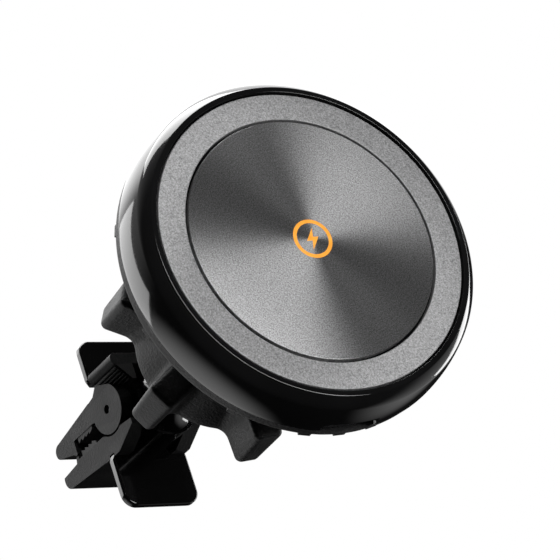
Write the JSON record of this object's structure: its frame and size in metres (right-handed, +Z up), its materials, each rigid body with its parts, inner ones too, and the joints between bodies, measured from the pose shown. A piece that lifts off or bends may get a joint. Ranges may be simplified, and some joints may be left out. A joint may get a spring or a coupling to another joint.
{
  "type": "car phone mount",
  "caption": "Round magnetic wireless-charging phone holder on a lockable ball joint with a sprung clip for a car's air vent.",
  "frame": {"origin": "middle of the fin slot between the clip's jaws", "axes": "+Z up, +Y from the driver into the vent, +X to the driver's right"},
  "size_m": [0.0641, 0.0921, 0.0645],
  "materials": {
    "gloss_black": "piano-black gloss moulding",
    "spun_grey": "circularly brushed dark grey",
    "soft_grey": "fine-grained soft-touch rubber",
    "orange_print": "orange print",
    "magnet": "nickel-plated magnet",
    "steel": "bright steel",
    "copper": "enamelled copper litz wire",
    "ferrite": "sintered ferrite",
    "board": "green solder mask",
    "chips": "epoxy packages",
    "matte_black": "fine spark-eroded texture",
    "clip_grey": "satin dark grey moulding",
    "wing_black": "gloss black with satin edges",
    "nylon": "natural nylon",
    "pad": "soft rubber"
  },
  "bodies": {
    "clip": {"clip_body": "clip_grey", "ball_stem": "gloss_black", "upper_wing": "wing_black", "lower_wing": "wing_black", "lower_pad": "pad", "pivot_pin": "steel", "torsion_spring": "steel", "clip_screws": "steel"},
    "jaw": {"upper_jaw": "clip_grey", "upper_pad": "pad"},
    "seat": {"ball_seat": "nylon"},
    "collet": {"socket_collet": "nylon"},
    "head": {"front_shell": "gloss_black", "face_ring": "soft_grey", "face_disc": "spun_grey", "face_badge": "orange_print", "magnet_ring": "magnet", "shunt_ring": "steel", "charging_coil": "copper", "ferrite_disc": "ferrite", "circuit_board": "board", "board_chips": "chips", "usb_port": "steel", "usb_tongue": "chips", "rear_cover": "matte_black", "cover_screws": "steel"},
    "nut": {"lock_nut": "matte_black"}
  },
  "joints": [
    {"name": "head_pan", "type": "hinge", "parent": "clip", "child": "seat", "pos_m": [0, -0.036, 0.002], "axis": [0, 0, 1], "range_deg": [-10, 30]},
    {"name": "head_tilt", "type": "hinge", "parent": "seat", "child": "collet", "pos_m": [0, -0.036, 0.002], "axis": [0.9848, -0.1736, 0], "range_deg": [-22, 18]},
    {"name": "head_spin", "type": "hinge", "parent": "collet", "child": "head", "pos_m": [0, -0.036, 0.002], "axis": [0.1735, 0.984, 0.0401], "continuous": true},
    {"name": "nut_turn", "type": "hinge", "parent": "head", "child": "nut", "pos_m": [-0.00043, -0.03846, 0.0019], "axis": [0.1735, 0.984, 0.0401], "range_deg": [0, 120]},
    {"name": "jaw_open", "type": "hinge", "parent": "clip", "child": "jaw", "pos_m": [0, -0.01, 0.0033], "axis": [1, 0, 0], "range_deg": [0, 12], "stiffness_Nm_per_rad": 0.12, "springref_deg": -34.38}
  ]
}
